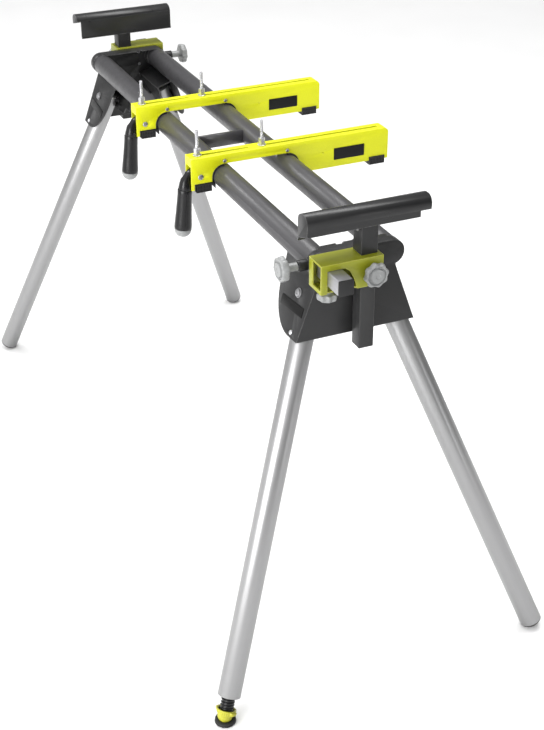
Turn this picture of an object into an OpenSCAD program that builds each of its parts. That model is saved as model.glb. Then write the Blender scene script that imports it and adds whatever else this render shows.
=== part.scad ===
// Folding mitre saw stand: two round rails, four folding splayed legs, two sliding
// work supports and two quick-clamp saddles. X runs along the rails, Z is up and the
// origin is on the floor under the middle of the stand. Millimetres throughout.

/* [Rails] */
// length over the outer faces of the two end plates
stand_len = 1091; // [1000:1:1300]
// outside radius of each main rail
rail_r = 20; // [19:0.1:20.5]
// wall thickness of each main rail
rail_wall = 2; // [1.2:0.1:2.2]
// half the distance between the two rail axes
rail_y = 60; // [58:0.5:64]
// height of the rail axes above the floor
rail_z = 714; // [680:1:820]
// position of the cross tube along the rails
cross_x = -12; // [-60:1:60]
// outside radius of the cross tube
cross_r = 12.5; // [8:0.5:16]

/* [Legs] */
// outside radius of a leg tube
leg_r = 19; // [16:0.5:19]
// wall thickness of a leg tube
leg_wall = 1.8; // [1.2:0.1:3]
// distance of the leg pivots from the middle, along the rails
pivot_x = 505; // [480:1:505]
// distance of the leg pivots from the middle, across the rails
pivot_y = 59.5; // [58:0.1:60.5]
// depth of the leg pivots below the rail axes
pivot_drop = 67.3; // [66:0.1:70]
// sideways lean of each leg
lean = 20.1; // [18:0.1:21]
// lean of each leg towards its end of the stand, in the plane it folds in
rake = 14.9; // [10:0.1:14.9]
// radius of the rounded foot caps
foot_r = 22.6; // [21:0.1:25]

/* [Brackets] */
// thickness of the folded bracket sheet
sheet = 2.2; // [1.5:0.1:2.4]
// thickness of each end plate
plate_t = 2.5; // [2:0.1:3]
// height of the bottom edge of the end plates
plate_z = 590; // [584:1:600]

/* [Work supports] */
// outside width of the square extension tube
ext_w = 25; // [22:0.5:25]
// length of each extension tube
ext_len = 1088; // [400:1:1088]
// width of the square post
post_w = 25; // [22:0.5:25]
// height of the lower end of the posts
post_z = 576; // [560:1:600]
// height of the top of the support bars
bar_z = 815; // [805:1:850]
// length of the support bars
bar_len = 207; // [160:1:260]
// radius of the lobed knobs
knob_r = 20.5; // [16:0.5:23]

/* [Saddles] */
// position of the near saddle along the rails
saddle_near_x = 140; // [60:1:400]
// position of the far saddle along the rails
saddle_far_x = -147; // [-400:1:-60]
// width of a saddle along the rails
saddle_w = 28; // [28:0.5:32]
// height of the saddle tops
saddle_top = 754; // [752:1:760]
// end of each saddle on the lever side
saddle_y0 = -121; // [-122:0.5:-121]
// end of each saddle on the long side
saddle_y1 = 260; // [258:1:330]

/* [Hidden] */
$fn = 64;

lime = [0.80, 0.86, 0.12];
steel_dark = [0.22, 0.22, 0.23];
steel_black = [0.12, 0.12, 0.13];
silver = [0.76, 0.77, 0.78];
plastic_black = [0.07, 0.07, 0.07];
knob_grey = [0.72, 0.73, 0.74];

eps = 0.01;                         // overlap of cutting solids
run = 0.05;                         // running clearance of round fits
gap = 0.1;                          // running clearance of square fits

rail_ri = rail_r - rail_wall;
end_x = stand_len / 2;              // outer face of an end plate
plate_x = end_x - plate_t;          // inner face of an end plate
wrap_r = rail_r + 0.8;              // end caps around the rail ends
wrap_len = 15;

pivot_z = rail_z - pivot_drop;
leg_ri = leg_r - leg_wall;
side_in = leg_r + 0.6;              // inner face of a cheek, from the leg axis
side_out = side_in + sheet;
tilt_cos = cos(lean) * cos(rake);
leg_top = 13;                       // leg tube above the pivot
cap_len = (pivot_z - foot_r) / tilt_cos;   // pivot to centre of the foot cap sphere
cap_drop = 11.6;                    // leg tube end below that centre
level_z = 45;                       // height of the tube end over the levelling foot
level_len = (pivot_z - level_z) / tilt_cos;
bolt_r = 5;                         // leg pivot bolt
button_r = 4;
button_down = 63;                   // lock button below the pivot, along the leg
screw_y = -26.3;                    // end plate screws
screw_zs = [rail_z - 14.2, rail_z + 11.2];
screw_hole = 1.5;

boss_x = 530;                       // rail lock knob along the rails
boss_r = 9;
boss_len = 15;                      // boss beyond the rail
stud_r = 4;
box_x0 = end_x + 2.5;               // carrier box, nearest the end plate
box_w = 42;
box_x1 = box_x0 + box_w;
box_y0 = -83.5;
box_y1 = 20.5;
box_z0 = rail_z - 25;
box_z1 = rail_z + 23;
box_t = 2.5;
post_x = box_x0 + 18;               // centre of the post
post_y = 1.5;
sleeve_w = 28;                      // wider top of the post, resting on the box
sleeve_top = bar_z - 12;
grip_x = box_x0 + 15;               // carrier knob under the box
post_knob_y = 3;
ext_x1 = end_x + 78.5;              // outer end of the extension tube
ext_x0 = ext_x1 - ext_len;
ext_corner = 16.6;                  // rounds the corners of the extension tube

screw_r = 11.5;                     // levelling screw
ball_r = 13;                        // round underside of the collar, in the dish of the pad
ball_z = 15;
ball_len = (pivot_z - ball_z) / tilt_cos;

arch_r = 23;                        // rail cut-outs of a saddle
saddle_z0 = rail_z - 18;
skin = 2.5;                         // saddle sheet
half_w = saddle_w / 2;
hub_y = -104;                       // lever pivot
hub_z = rail_z + 5;
grip_len = 73;                         // moulded grip of a lever, without its pale cap
slot_w = 6.4;
stud_ys = [-104, 17];               // clamping studs on each saddle

// ---------- placing helpers ----------

// turns a piece drawn for the near end half a turn round to the far end
module far_end() { rotate([0, 0, 180]) children(); }

// puts a flat outline drawn as (Y, Z) upright and gives it a thickness along X
module along_x(x0, len) {
  translate([x0, 0, 0]) rotate([90, 0, 90]) linear_extrude(len) children();
}

// puts a flat outline drawn as (X, Z) upright and gives it a thickness along Y
module along_y(y0, len) {
  translate([0, y0 + len, 0]) rotate([90, 0, 0]) linear_extrude(len) children();
}

// leg frame: origin on the pivot, local Z up the sloping fold plane, local -Y outwards
module at_leg(end, side) {
  mirror([end < 0 ? 1 : 0, 0, 0]) mirror([0, side > 0 ? 1 : 0, 0])
    translate([pivot_x, -pivot_y, pivot_z]) rotate([-lean, 0, 0]) children();
}

// leg frame turned to the rake of the open leg
module at_open_leg(end, side) { at_leg(end, side) rotate([0, -rake, 0]) children(); }

module both_rails() {
  for (s = [-1, 1])
    translate([-end_x, s * rail_y, rail_z]) rotate([0, 90, 0]) cylinder(h = 2 * end_x, r = rail_r);
}

// ---------- rails and brackets ----------

// one rail; lock_x is where the extension lock knob enters it
module rail(side, lock_x) {
  color(steel_dark) difference() {
    translate([-plate_x, side * rail_y, rail_z]) rotate([0, 90, 0])
      cylinder(h = 2 * plate_x, r = rail_r);
    translate([-plate_x - eps, side * rail_y, rail_z]) rotate([0, 90, 0])
      cylinder(h = 2 * plate_x + 2 * eps, r = rail_ri);
    translate([lock_x, side * rail_y, rail_z]) rotate([-side * 90, 0, 0])
      cylinder(h = rail_r + 5, r = stud_r + 1);
  }
}

module cross_tube() {
  reach = rail_y - rail_r + 4;
  color(steel_dark) difference() {
    translate([cross_x, reach, rail_z]) rotate([90, 0, 0]) cylinder(h = 2 * reach, r = cross_r);
    translate([cross_x, reach + eps, rail_z]) rotate([90, 0, 0])
      cylinder(h = 2 * reach + 2 * eps, r = cross_r - 1.8);
    both_rails();
  }
}

// half width of the bracket at height z
function side_y(z) = pivot_y + side_out * cos(lean)
  + (pivot_z + side_out * sin(lean) - z) * tan(lean);

module end_plate_outline() {
  neck_z = rail_z - 24;
  polygon([[-side_y(plate_z), plate_z], [side_y(plate_z), plate_z],
    [side_y(neck_z), neck_z], [rail_y, rail_z + wrap_r], [-rail_y, rail_z + wrap_r],
    [-side_y(neck_z), neck_z]]);
  for (s = [-1, 1]) translate([s * rail_y, rail_z]) circle(wrap_r);
}

// outline of a side flange in the leg frame, leaf-shaped towards the middle of the stand
module flange_outline() {
  front = plate_x - pivot_x + eps;
  polygon(concat([[front, 46], [-75, 46], [-69, 22]],
    [for (t = [0 : 6 : 90]) [8 - 75 * cos(t), 20 - 90 * sin(t)]],
    [[front, (plate_z - pivot_z - side_out * sin(lean)) / cos(lean)]]));
}

module end_bracket() {
  color(steel_black) difference() {
    union() {
      along_x(plate_x, plate_t) end_plate_outline();
      for (s = [-1, 1])
        translate([plate_x - wrap_len, s * rail_y, rail_z]) rotate([0, 90, 0])
          cylinder(h = wrap_len + eps, r = wrap_r);
      translate([plate_x - 24, -rail_y, rail_z + wrap_r - 2]) cube([24 + eps, 2 * rail_y, 2]);
      for (s = [-1, 1]) at_leg(1, s) along_y(-side_out, sheet) flange_outline();
    }
    for (s = [-1, 1])
      translate([plate_x - 150, s * rail_y, rail_z]) rotate([0, 90, 0])
        cylinder(h = 150, r = rail_r);
    translate([plate_x - 1, -rail_y, rail_z]) rotate([0, 90, 0]) cylinder(h = 8, r = rail_ri);
    translate([plate_x - 30, -26, rail_z + rail_r - 3]) cube([11, 12, 7]);
    translate([boss_x, -rail_y, rail_z]) rotate([90, 0, 0]) cylinder(h = rail_r + 9, r = boss_r);
    for (z = screw_zs) translate([plate_x - 1, screw_y, z]) rotate([0, 90, 0])
      cylinder(h = plate_t + 2, r = screw_hole);
    for (s = [-1, 1]) {
      at_leg(1, s) rotate([90, 0, 0]) cylinder(h = 40, r = bolt_r);
      at_open_leg(1, s) translate([0, 0, -button_down]) rotate([90, 0, 0])
        cylinder(h = 40, r = button_r + run);
    }
  }
}

// inner cheek of each leg channel with the web that joins it over the leg to the flange
module leg_cheeks() {
  front = plate_x - pivot_x;
  web_z = 41;
  color(steel_black) for (s = [-1, 1]) difference() {
    at_leg(1, s) difference() {
      union() {
        along_y(side_in, sheet)
          polygon([[front, web_z + sheet], [-82, web_z + sheet], [-82, 0], [-60, 0],
            [-54, -14], [front, -14]]);
        translate([-75, -side_in, web_z]) cube([75 + front, 2 * side_in + eps, sheet]);
      }
      rotate([-90, 0, 0]) cylinder(h = 40, r = bolt_r);
    }
    both_rails();
    translate([plate_x - wrap_len, s * rail_y, rail_z]) rotate([0, 90, 0])
      cylinder(h = wrap_len + eps, r = wrap_r);
  }
}

module plate_screws() {
  for (z = screw_zs) translate([plate_x, screw_y, z]) rotate([0, -90, 0]) {
    cylinder(h = 1.8, r = 3.2);
    translate([0, 0, -plate_t]) cylinder(h = plate_t + eps, r = screw_hole);
  }
}

// leg pivot bolts and the small screws of the end plates
module bracket_bolts() {
  color(silver) {
    for (e = [-1, 1], s = [-1, 1]) at_leg(e, s) {
      translate([0, side_out, 0]) rotate([90, 0, 0]) cylinder(h = 2 * side_out, r = bolt_r);
      translate([0, -side_out, 0]) rotate([90, 0, 0]) cylinder(h = 1.2, r = 8);
      translate([0, -side_out - 1.2 + eps, 0]) rotate([90, 0, 0]) cylinder(h = 3, r = 6.5);
      translate([0, side_out + 3, 0]) rotate([90, 0, 0]) cylinder(h = 3, r = 7, $fn = 6);
    }
    plate_screws();
    far_end() plate_screws();
  }
}

module bracket_badges() {
  color(plastic_black) for (e = [-1, 1], s = [-1, 1])
    at_leg(e, s) translate([-6.4, -side_out - 1, -25]) rotate([0, -5, 0])
      translate([-37, 0, -8]) cube([74, 1, 16]);
}

// square extension tube section with rounded corners
module ext_section(grow) {
  intersection() {
    square(ext_w + 2 * grow, center = true);
    circle(ext_corner + grow);
  }
}

// plastic guide in the mouth of the rail that holds the extension tube
module tube_guide() {
  difference() {
    along_x(plate_x - 12, 12 + plate_t) translate([-rail_y, rail_z]) difference() {
      circle(rail_ri);
      ext_section(gap);
    }
    translate([boss_x, -rail_y, rail_z]) rotate([90, 0, 0]) cylinder(h = rail_r, r = stud_r + 1);
  }
  along_x(end_x, 2) translate([-rail_y, rail_z]) difference() {
    circle(rail_ri + 2);
    ext_section(gap);
  }
}

module tube_guides() {
  color(plastic_black) {
    tube_guide();
    far_end() tube_guide();
  }
}

module knob_boss() {
  difference() {
    translate([boss_x, -rail_y, rail_z]) rotate([90, 0, 0])
      cylinder(h = rail_r + boss_len, r = boss_r);
    translate([boss_x, -rail_y + 1, rail_z]) rotate([90, 0, 0])
      cylinder(h = rail_r + boss_len + 2, r = stud_r + run);
    both_rails();
  }
}

module knob_bosses() {
  color(steel_black) {
    knob_boss();
    far_end() knob_boss();
  }
}

// ---------- legs ----------

module leg_tube(end, side, len) {
  color(silver) at_open_leg(end, side) difference() {
    translate([0, 0, -len]) cylinder(h = len + leg_top, r = leg_r);
    translate([0, 0, -len - eps]) cylinder(h = len + leg_top + 2 * eps, r = leg_ri);
    translate([0, leg_r + 1, 0]) rotate([90, 0, 0])
      cylinder(h = 2 * leg_r + 2, r = bolt_r + run);
  }
}

module top_plug() {
  translate([0, 0, leg_top]) rotate_extrude() polygon([[0, -6], [leg_ri, -6], [leg_ri, 0],
    [leg_r, 0], [leg_r, 5], [leg_r - 4, 9], [0, 9]]);
}

module leg_caps(end, side) {
  color(plastic_black) at_open_leg(end, side) {
    top_plug();
    translate([0, 0, -cap_len - cap_drop]) cylinder(h = 18, r = leg_ri);
    intersection() {
      translate([0, 0, -cap_len]) sphere(foot_r);
      translate([0, 0, -cap_len - foot_r]) cylinder(h = foot_r - cap_drop, r = leg_r);
    }
  }
}

// threaded insert in the tube end that carries the levelling screw
module leg_caps_levelling() {
  color(plastic_black) at_open_leg(1, -1) {
    top_plug();
    difference() {
      translate([0, 0, -level_len - 1.5]) cylinder(h = 26, r = leg_ri);
      translate([0, 0, -level_len - 2]) cylinder(h = 28, r = screw_r + run);
    }
  }
}

module lock_button(end, side) {
  color(silver) at_open_leg(end, side) translate([0, 0, -button_down]) {
    translate([0, -side_in + 0.3, 0]) rotate([90, 0, 0]) cylinder(h = sheet + 1.4, r = button_r);
    intersection() {
      translate([0, -side_out + 1.8, 0]) sphere(5);
      translate([0, -side_out - 1, 0]) rotate([90, 0, 0]) cylinder(h = 5, r = button_r);
    }
  }
}

// ---------- levelling foot ----------

module levelling_screw() {
  root = screw_r - 1.6;
  top = 34;
  stem = ball_len - level_len;
  color(plastic_black) at_open_leg(1, -1) translate([0, 0, -level_len]) {
    rotate_extrude() polygon(concat([[0, -stem + 4.4], [root, -stem + 4.4]],
      [for (i = [0 : 7], k = [0 : 3])
        [k == 1 || k == 2 ? screw_r : root, -stem + 6.4 + i * 5 + [0, 1, 2.4, 3.4][k]]],
      [[root, top], [0, top]]));
    translate([0, 0, -stem - 8]) cylinder(h = 12.4 + eps, r = 5.5);
  }
}

// foot pad, flat on the floor, with a dish for the round underside of the collar
module levelling_pad() {
  dx = pivot_x + ball_len * sin(rake);
  dy = -pivot_y - ball_len * cos(rake) * sin(lean);
  color(plastic_black) translate([dx, dy, 0]) difference() {
    rotate_extrude() polygon([[0, 0], [15, 0], [17, 1.2], [17.6, 3.5], [17.2, 6], [16, 7.2],
      [0, 7.2]]);
    translate([0, 0, ball_z]) sphere(ball_r + run);
  }
}

// lime hand collar: a round-bottomed cup on the stem of the screw, with two ears
module levelling_collar() {
  color(lime) at_open_leg(1, -1) translate([0, 0, -ball_len]) difference() {
    union() {
      sphere(ball_r);
      rotate_extrude() polygon([[0, 0], [ball_r - 0.4, 0], [15.4, 4.6], [16.6, 8.2], [16.6, 10], [0, 10]]);
      for (s = [-1, 1]) rotate([0, 0, 20]) translate([s * 17 - 3.5, -6, 3])
        cube([7, 12, 6]);
    }
    translate([0, 0, -9]) cylinder(h = 30, r = 5.5 + run);
    translate([0, 0, 3.6]) cylinder(h = 12, r = 13.4);
    translate([0, 0, -ball_r - 1]) cylinder(h = 1.5, r = 6);
  }
}

// ---------- work supports ----------

module extension_tube() {
  color(silver) along_x(ext_x0, ext_len) translate([-rail_y, rail_z]) difference() {
    ext_section(0);
    ext_section(-1.6);
  }
}

module extension_plastics() {
  color(plastic_black) {
    along_x(ext_x1, 3) translate([-rail_y, rail_z]) ext_section(0);
    along_x(ext_x1 - 15, 15 + eps) translate([-rail_y, rail_z]) ext_section(-1.6);
    along_x(ext_x0 - 6, 6) translate([-rail_y, rail_z]) circle(rail_ri - gap);
    along_x(ext_x0 - eps, 20) translate([-rail_y, rail_z]) ext_section(-1.6);
  }
}

module carrier() {
  cy = -rail_y;
  color(lime) difference() {
    translate([box_x0, box_y0, box_z0]) cube([box_w, box_y1 - box_y0, box_z1 - box_z0]);
    translate([box_x0 + box_t, box_y0 + box_t, box_z0 + box_t])
      cube([box_w - 2 * box_t, box_y1 - box_y0 - 2 * box_t, box_z1 - box_z0 - 2 * box_t]);
    translate([box_x0 + 12, box_y0 - 1, box_z0 + 6])
      cube([box_w - 12 - box_t, box_t + 2, box_z1 - box_z0 - 9]);
    along_x(box_x0 - 1, box_t + 2) translate([cy, rail_z]) ext_section(0);
    along_x(box_x1 - box_t - 1, box_t + 2) polygon([[cy - 13, box_z0 - 1],
      [cy - 13, rail_z + 13], [cy + 16, rail_z + 13], [cy + 25, rail_z + 6],
      [cy + 32, rail_z - 8], [cy + 37, rail_z - 24], [cy + 37, box_z0 - 1]]);
    translate([post_x - post_w / 2 - gap, post_y - post_w / 2 - gap, box_z0 - 1])
      cube([post_w + 2 * gap, post_w + 2 * gap, box_z1 - box_z0 + 2]);
    translate([grip_x, cy, box_z0 - 1]) cylinder(h = box_t + 2, r = stud_r + run);
    translate([box_x1 - box_t - 1, post_knob_y, rail_z - 3]) rotate([0, 90, 0])
      cylinder(h = box_t + 2, r = stud_r + run);
  }
}

// lobed hand knob on a threaded stud; the stud tip is at the origin and points to -Z
module lobed_knob(stud_len, hub_len, hub_r, thick, r) {
  lobes = 8;
  lobe_r = 5;
  color(knob_grey) {
    cylinder(h = stud_len + 1, r = stud_r);
    translate([0, 0, stud_len]) cylinder(h = hub_len + eps, r = hub_r);
    translate([0, 0, stud_len + hub_len]) linear_extrude(thick) {
      circle(r - 2.6);
      for (i = [0 : lobes - 1]) rotate(i * 360 / lobes) translate([r - lobe_r, 0]) circle(lobe_r);
    }
    translate([0, 0, stud_len + hub_len + thick - eps]) cylinder(h = 1.5, r = 11);
  }
}

module rail_knob() {
  tip = ext_w / 2 + 0.3;
  translate([boss_x, -rail_y - tip, rail_z]) rotate([90, 0, 0])
    lobed_knob(rail_r + boss_len + 0.1 - tip, 19.5, 6.8, 12, knob_r);
}

module carrier_knob() {
  tip = ext_w / 2 + 0.3;
  translate([grip_x, -rail_y, rail_z - tip]) rotate([180, 0, 0])
    lobed_knob(rail_z - tip - box_z0 + 2, 9, 9, 12, knob_r - 4);
}

module post_knob() {
  tip = sleeve_w / 2 + 0.3;
  translate([post_x + tip, post_knob_y, rail_z - 3]) rotate([0, 90, 0])
    lobed_knob(box_x1 - post_x - tip + 1, 5, 9, 10, knob_r);
}

module post() {
  color(steel_black) translate([post_x, post_y, 0]) difference() {
    union() {
      translate([-post_w / 2, -post_w / 2, post_z]) cube([post_w, post_w, sleeve_top - post_z]);
      translate([-sleeve_w / 2, -sleeve_w / 2, box_z1 + gap])
        cube([sleeve_w, sleeve_w, sleeve_top - box_z1 - gap]);
    }
    translate([-post_w / 2 + 2, -post_w / 2 + 2, post_z + 3])
      cube([post_w - 4, post_w - 4, sleeve_top - post_z]);
  }
}

// section of the support bar, outwards to +X, crown at zero
dome_out = [[-16, -11], [-15, -7.5], [-12.5, -4.3], [-9, -2], [-5, -0.6], [-1, 0], [5.5, 0],
  [9, -0.9], [12.5, -3], [15, -6], [16.6, -10], [17, -15], [16.6, -19], [16, -22]];
dome_in = [[14.2, -21.6], [14.6, -18.4], [15, -15], [14.7, -10.8], [13.4, -7.2], [11.4, -4.7],
  [8.4, -2.8], [5, -2], [-0.8, -2], [-4.5, -2.6], [-8, -3.8], [-11, -5.9], [-13.1, -8.4],
  [-14, -11]];

module support_bar() {
  y0 = -bar_len / 2;
  color(steel_black) translate([post_x, 0, bar_z]) {
    along_y(y0, bar_len) polygon(concat(dome_out, dome_in));
    along_y(y0, bar_len - 8) polygon([[-18.5, -47.5], [-16, -42], [-16, -10.9], [-14, -10.9],
      [-14, -42.5], [-16.6, -48.2]]);
    translate([sleeve_w / 2, y0, -32]) cube([2, bar_len - 18, 12]);
    along_y(y0, 1.5) polygon(concat([[-16, -42]], dome_out, [[16, -32]]));
    along_y(y0 + bar_len - 1.5, 1.5) polygon(dome_out);
  }
}

// ---------- saddles ----------

// side view of a saddle as (Y, Z), with the cut-outs over the two rails
module saddle_outline() {
  corner = 9;
  difference() {
    union() {
      translate([saddle_y0, saddle_z0])
        square([saddle_y1 - saddle_y0 - corner, saddle_top - saddle_z0]);
      translate([saddle_y1 - corner - eps, saddle_z0])
        square([corner + eps, saddle_top - saddle_z0 - corner]);
      translate([saddle_y1 - corner, saddle_top - corner]) circle(corner);
    }
    translate([-rail_y - arch_r, saddle_z0 - 1])
      square([2 * (rail_y + arch_r), rail_z - saddle_z0 + 1]);
    translate([-rail_y, rail_z - 1]) square([2 * rail_y, arch_r + 1]);
    for (s = [-1, 1]) translate([s * rail_y, rail_z]) circle(arch_r);
  }
}

module saddle_shell() {
  color(lime) difference() {
    along_x(-half_w, saddle_w) saddle_outline();
    translate([-half_w + skin, saddle_y0 + skin, saddle_z0 - 1])
      cube([saddle_w - 2 * skin, saddle_y1 - saddle_y0 - 2 * skin,
        saddle_top - skin - saddle_z0 + 1]);
    translate([-half_w + skin, saddle_y0 - 1, saddle_z0 - 1])
      cube([saddle_w - 2 * skin, skin + 2, rail_z + 25.5 - saddle_z0]);
    translate([-half_w - 1, -115.5, saddle_z0 - 1]) cube([saddle_w + 2, 33, 12.2]);
    translate([-half_w - 1, 222, saddle_z0 - 1]) cube([saddle_w + 2, 31, 8]);
    for (y = [[-104, -8], [17, 244]])
      translate([-slot_w / 2, y[0] - 4, saddle_top - skin - 1])
        cube([slot_w, y[1] - y[0] + 4, skin + 2]);
    along_x(-half_w - 1, saddle_w + 2) translate([hub_y, hub_z]) circle(3.5);
    along_x(half_w - skin - 1, skin + 2) {
      for (y = [-59, 60]) translate([y, rail_z + 28]) circle(2);
      translate([130, rail_z + 12]) circle(1.8);
    }
  }
}

module saddle_at(x) { translate([x, 0, 0]) children(); }

// plastic liners that ride on the rails, and the shoe under the long end
module saddle_pads() {
  color(plastic_black) {
    along_x(-half_w - 1, saddle_w + 2) {
      difference() {
        translate([-rail_y, rail_z]) circle(arch_r);
        translate([-rail_y, rail_z]) circle(rail_r + 0.08);
        translate([-rail_y, rail_z - 40]) square([40, 80]);
        translate([-rail_y - 40, rail_z - 40]) square([60, 36]);
      }
      difference() {
        translate([rail_y, rail_z]) circle(arch_r);
        translate([rail_y, rail_z]) circle(rail_r + 0.08);
        translate([rail_y - 40, rail_z - 40]) square([40, 80]);
        translate([rail_y - 20, rail_z - 40]) square([60, 36]);
      }
    }
    translate([-half_w - 1, 222, rail_z - 26]) cube([saddle_w + 2, 31, 15]);
  }
}

module saddle_badge() {
  color(plastic_black) translate([half_w, 151, rail_z - 5]) cube([1, 60.5, 22]);
}

// lever pivot screw through both sides, liner screws on the front face
module saddle_screws() {
  color(silver) {
    along_x(-half_w, saddle_w) translate([hub_y, hub_z]) circle(3.5);
    along_x(half_w, 1.8) {
      translate([hub_y, hub_z]) circle(5);
      for (y = [-59, 60]) translate([y, rail_z + 28]) circle(3.4);
    }
    along_x(half_w - skin, skin + eps)
      for (y = [-59, 60]) translate([y, rail_z + 28]) circle(2);
    along_x(-half_w - 2, 2) translate([hub_y, hub_z]) circle(5.5, $fn = 6);
  }
}

// clamping stud with its nut, standing in a slot of the saddle top
module clamp_stud(y) {
  color(silver) translate([0, y, saddle_top]) {
    translate([0, 0, -skin - 4.1]) cylinder(h = 4, r = 7);
    translate([-3.1, -3.1, -skin - 0.2]) cube([6.2, 6.2, skin + 0.4]);
    translate([0, 0, 0.1]) cylinder(h = 2, r = 7.5);
    translate([0, 0, 2]) cylinder(h = 12, r = 6, $fn = 6);
    translate([0, 0, 13.9]) cylinder(h = 32.1, r = 3);
  }
}

module lever_side() {
  difference() {
    union() {
      translate([hub_y, hub_z]) circle(9);
      translate([hub_y, hub_z]) polygon([[2, -8], [2, 8], [-9, 13], [-17, 15], [-23, 5],
        [-28, -7], [-34, -21], [-35, -30.5], [-14, -30.5], [-14, -19], [-8, -9]]);
    }
    translate([hub_y, hub_z]) circle(3.5 + run);
  }
}

module grip_at() { translate([0, hub_y - 25, hub_z - 29]) rotate([-5, 0, 0]) children(); }

module clamp_lever() {
  color(plastic_black) {
    along_x(-9, 18) lever_side();
    grip_at() translate([0, 0, -grip_len + 6.5]) rotate_extrude()
      polygon([[0, 0], [15.3, 0], [15.5, 4], [14.2, 28], [13.2, 48], [12.8, 66], [12.6, 72],
        [11.4, grip_len], [0, grip_len]]);
  }
}

module lever_cap() {
  color(knob_grey) grip_at() translate([0, 0, -grip_len + 6.5]) difference() {
    translate([0, 0, 0.6]) sphere(15.3);
    translate([-20, -20, 0]) cube([40, 40, 30]);
  }
}

// moving jaw of the quick clamp, hooked under the outer side of the rail
module clamp_jaw() {
  color(plastic_black) difference() {
    union() {
      translate([-half_w - 1, -112, rail_z - 23]) cube([saddle_w + 2, 28, 15.8]);
      along_x(-half_w - 1, saddle_w + 2) difference() {
        translate([-rail_y, rail_z]) circle(26);
        translate([-rail_y - 17, rail_z - 40]) square([50, 80]);
        translate([-rail_y - 40, rail_z - 7.3]) square([80, 40]);
      }
    }
    along_x(-half_w - 2, saddle_w + 4) translate([-rail_y, rail_z]) circle(rail_r + 0.3);
  }
}

// ---------- nodes ----------

rail(-1, boss_x);  // rail_left
rail(1, -boss_x);  // rail_right
cross_tube();
end_bracket();  // end_bracket_near
far_end() end_bracket();  // end_bracket_far
leg_cheeks();  // leg_cheeks_near
far_end() leg_cheeks();  // leg_cheeks_far
bracket_bolts();
bracket_badges();
tube_guides();
knob_bosses();
leg_tube(1, -1, level_len);  // leg_tube_near_left
leg_tube(1, 1, cap_len + cap_drop);  // leg_tube_near_right
leg_tube(-1, -1, cap_len + cap_drop);  // leg_tube_far_left
leg_tube(-1, 1, cap_len + cap_drop);  // leg_tube_far_right
leg_caps_levelling();  // leg_caps_near_left
leg_caps(1, 1);  // leg_caps_near_right
leg_caps(-1, -1);  // leg_caps_far_left
leg_caps(-1, 1);  // leg_caps_far_right
lock_button(1, -1);  // lock_button_near_left
lock_button(1, 1);  // lock_button_near_right
lock_button(-1, -1);  // lock_button_far_left
lock_button(-1, 1);  // lock_button_far_right
levelling_screw();
levelling_pad();
levelling_collar();
extension_tube();  // extension_tube_near
far_end() extension_tube();  // extension_tube_far
extension_plastics();  // extension_plastics_near
far_end() extension_plastics();  // extension_plastics_far
carrier();  // carrier_near
far_end() carrier();  // carrier_far
rail_knob();  // rail_knob_near
far_end() rail_knob();  // rail_knob_far
carrier_knob();  // carrier_knob_near
far_end() carrier_knob();  // carrier_knob_far
post_knob();  // post_knob_near
far_end() post_knob();  // post_knob_far
post();  // post_near
far_end() post();  // post_far
support_bar();  // support_bar_near
far_end() support_bar();  // support_bar_far
saddle_at(saddle_near_x) saddle_shell();  // saddle_near
saddle_at(saddle_far_x) saddle_shell();  // saddle_far
saddle_at(saddle_near_x) saddle_pads();  // saddle_pads_near
saddle_at(saddle_far_x) saddle_pads();  // saddle_pads_far
saddle_at(saddle_near_x) saddle_badge();  // saddle_badge_near
saddle_at(saddle_far_x) saddle_badge();  // saddle_badge_far
saddle_at(saddle_near_x) saddle_screws();  // saddle_screws_near
saddle_at(saddle_far_x) saddle_screws();  // saddle_screws_far
saddle_at(saddle_near_x) clamp_stud(stud_ys[0]);  // clamp_stud_near_a
saddle_at(saddle_near_x) clamp_stud(stud_ys[1]);  // clamp_stud_near_b
saddle_at(saddle_far_x) clamp_stud(stud_ys[0]);  // clamp_stud_far_a
saddle_at(saddle_far_x) clamp_stud(stud_ys[1]);  // clamp_stud_far_b
saddle_at(saddle_near_x) clamp_lever();  // lever_near
saddle_at(saddle_far_x) clamp_lever();  // lever_far
saddle_at(saddle_near_x) lever_cap();  // lever_cap_near
saddle_at(saddle_far_x) lever_cap();  // lever_cap_far
saddle_at(saddle_near_x) clamp_jaw();  // clamp_jaw_near
saddle_at(saddle_far_x) clamp_jaw();  // clamp_jaw_far
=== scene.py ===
import math

import bpy
from mathutils import Matrix, Vector


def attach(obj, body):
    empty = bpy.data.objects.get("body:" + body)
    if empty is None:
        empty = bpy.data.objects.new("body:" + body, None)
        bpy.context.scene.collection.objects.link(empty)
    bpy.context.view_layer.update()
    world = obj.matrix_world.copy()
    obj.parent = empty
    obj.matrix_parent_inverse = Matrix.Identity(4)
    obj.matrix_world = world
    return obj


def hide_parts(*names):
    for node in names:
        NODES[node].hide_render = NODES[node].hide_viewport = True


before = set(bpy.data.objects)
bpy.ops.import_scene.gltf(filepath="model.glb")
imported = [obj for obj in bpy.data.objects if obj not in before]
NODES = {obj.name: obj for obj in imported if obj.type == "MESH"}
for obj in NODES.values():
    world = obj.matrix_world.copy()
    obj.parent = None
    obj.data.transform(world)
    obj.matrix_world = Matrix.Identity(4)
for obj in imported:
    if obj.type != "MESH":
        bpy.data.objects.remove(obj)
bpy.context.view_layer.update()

MM = 0.001
ENDS = ("near", "far")
SIDES = ("left", "right")

# ---------- places repeated from the CAD source, in millimetres and degrees ----------

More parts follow.
